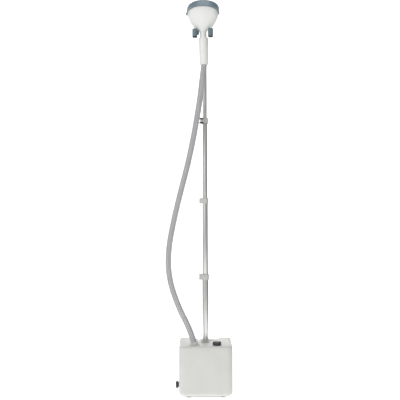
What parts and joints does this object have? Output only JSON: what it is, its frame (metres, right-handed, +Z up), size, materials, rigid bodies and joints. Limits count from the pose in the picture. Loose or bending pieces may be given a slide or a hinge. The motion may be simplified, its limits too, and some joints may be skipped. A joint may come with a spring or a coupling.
{
  "type": "garment steamer",
  "caption": "Upright garment steamer: rounded base with boiler and lift-out tank, telescopic mast with lever clamps, forked cradle, wide-headed handset and braided hose.",
  "frame": {"origin": "on the floor under the mast's axis, at the middle of the base", "axes": "+Z up along the mast, -Y towards the front of the machine, +X to the right seen from the front"},
  "size_m": [0.2623, 0.2128, 1.553],
  "materials": {
    "body_white": "fine matt moulding",
    "handset_white": "satin moulding",
    "slate_plastic": "satin",
    "charcoal_plastic": "fine texture",
    "clamp_grey": "satin",
    "sole_grey": "fine texture",
    "tank_smoke": "clear tinted, polished",
    "rubber_black": "matt",
    "silicone_white": "matt",
    "mast_chrome": "satin chrome tube",
    "steel": "bright",
    "cast_alloy": "as cast",
    "hose_braid": "woven braid, light grey with black flecks"
  },
  "bodies": {
    "root": {"base_housing": "body_white", "top_deck": "body_white", "pole_socket": "body_white", "hose_collar": "body_white", "tank_bay": "body_white", "bottom_plate": "sole_grey", "foot_1": "rubber_black", "foot_2": "rubber_black", "foot_3": "rubber_black", "foot_4": "rubber_black", "base_screw_1": "steel", "base_screw_2": "steel", "base_screw_3": "steel", "base_screw_4": "steel", "heating_element": "steel", "clamp_pin_1": "steel", "mains_gland": "charcoal_plastic", "thermostat": "charcoal_plastic", "rotary_switch": "charcoal_plastic", "boiler_body": "cast_alloy", "boiler_cover": "cast_alloy", "thermal_fuse": "silicone_white", "steam_pipe": "silicone_white", "feed_pipe": "silicone_white", "drain_pipe": "silicone_white", "clamp_collar_1": "clamp_grey", "mast_tube_1": "mast_chrome", "steam_hose": "hose_braid"},
    "knob": {"control_knob": "charcoal_plastic", "switch_spindle": "steel"},
    "drain_carriage": {"drain_seal": "rubber_black"},
    "drain_cap": {"drain_cap": "charcoal_plastic"},
    "tank": {"water_tank": "tank_smoke", "tank_valve_cap": "charcoal_plastic", "tank_valve_spring": "steel"},
    "tank_valve": {"tank_valve_plunger": "clamp_grey", "tank_valve_seal": "rubber_black"},
    "lever_1": {"clamp_lever_1": "clamp_grey"},
    "lever_2": {"clamp_lever_2": "clamp_grey"},
    "lever_3": {"clamp_lever_3": "clamp_grey"},
    "mast_2": {"mast_tube_2": "mast_chrome", "clamp_collar_2": "clamp_grey", "clamp_pin_2": "steel"},
    "mast_3": {"mast_tube_3": "mast_chrome", "clamp_collar_3": "charcoal_plastic", "clamp_pin_3": "steel"},
    "mast_4": {"mast_tube_4": "mast_chrome", "cradle_body": "slate_plastic", "prong_left": "slate_plastic", "prong_right": "slate_plastic", "prong_buffer_left": "rubber_black", "prong_buffer_right": "rubber_black"},
    "handset": {"handset_front": "handset_white", "handset_rear": "handset_white", "bonnet": "slate_plastic", "steam_plate": "steel", "plate_gasket": "rubber_black", "steam_tube": "silicone_white", "handle_ferrule": "handset_white"}
  },
  "joints": [
    {"name": "knob_turn", "type": "hinge", "parent": "root", "child": "knob", "pos_m": [0.044, -0.07, 0.2036], "axis": [0, 0, -1], "range_deg": [0, 270]},
    {"name": "drain_cap_travel", "type": "slide", "parent": "root", "child": "drain_carriage", "axis": [-1, 0, 0], "range_m": [0, 0.0091]},
    {"name": "drain_cap_turn", "type": "hinge", "parent": "drain_carriage", "child": "drain_cap", "pos_m": [-0.11, -0.063, 0.048], "axis": [-1, 0, 0], "range_deg": [0, 1080]},
    {"name": "tank_lift", "type": "slide", "parent": "root", "child": "tank", "axis": [0, 0, 1], "range_m": [0, 0.2]},
    {"name": "tank_valve_press", "type": "slide", "parent": "tank", "child": "tank_valve", "axis": [0, 0, 1], "range_m": [0, 0.003], "stiffness_N_per_m": 150, "springref_m": -0.004, "deforming": ["tank_valve_spring"]},
    {"name": "clamp_1_open", "type": "hinge", "parent": "root", "child": "lever_1", "pos_m": [-0.0213, -0.004, 0.463], "axis": [0, 0, -1], "range_deg": [0, 110]},
    {"name": "clamp_2_open", "type": "hinge", "parent": "mast_2", "child": "lever_2", "pos_m": [-0.0198, -0.004, 0.767], "axis": [0, 0, -1], "range_deg": [0, 110]},
    {"name": "clamp_3_open", "type": "hinge", "parent": "mast_3", "child": "lever_3", "pos_m": [-0.01509, -0.0111, 1.086], "axis": [0, 0, -1], "range_deg": [0, 110]},
    {"name": "mast_slide_1", "type": "slide", "parent": "root", "child": "mast_2", "axis": [0, 0, -1], "range_m": [0, 0.27], "deforming": ["steam_hose"]},
    {"name": "mast_slide_2", "type": "slide", "parent": "mast_2", "child": "mast_3", "axis": [0, 0, -1], "range_m": [0, 0.27], "deforming": ["steam_hose"]},
    {"name": "mast_slide_3", "type": "slide", "parent": "mast_3", "child": "mast_4", "axis": [0, 0, -1], "range_m": [0, 0.27], "deforming": ["steam_hose"]},
    {"name": "handset_lift", "type": "slide", "parent": "mast_4", "child": "handset", "axis": [-0.0998, -0.813, 0.5736], "range_m": [0, 0.08], "deforming": ["steam_hose"]}
  ],
  "couplings": [
    {"joint": "drain_cap_travel", "follows": "drain_cap_turn", "m_per_rad": 0.00047746}
  ]
}
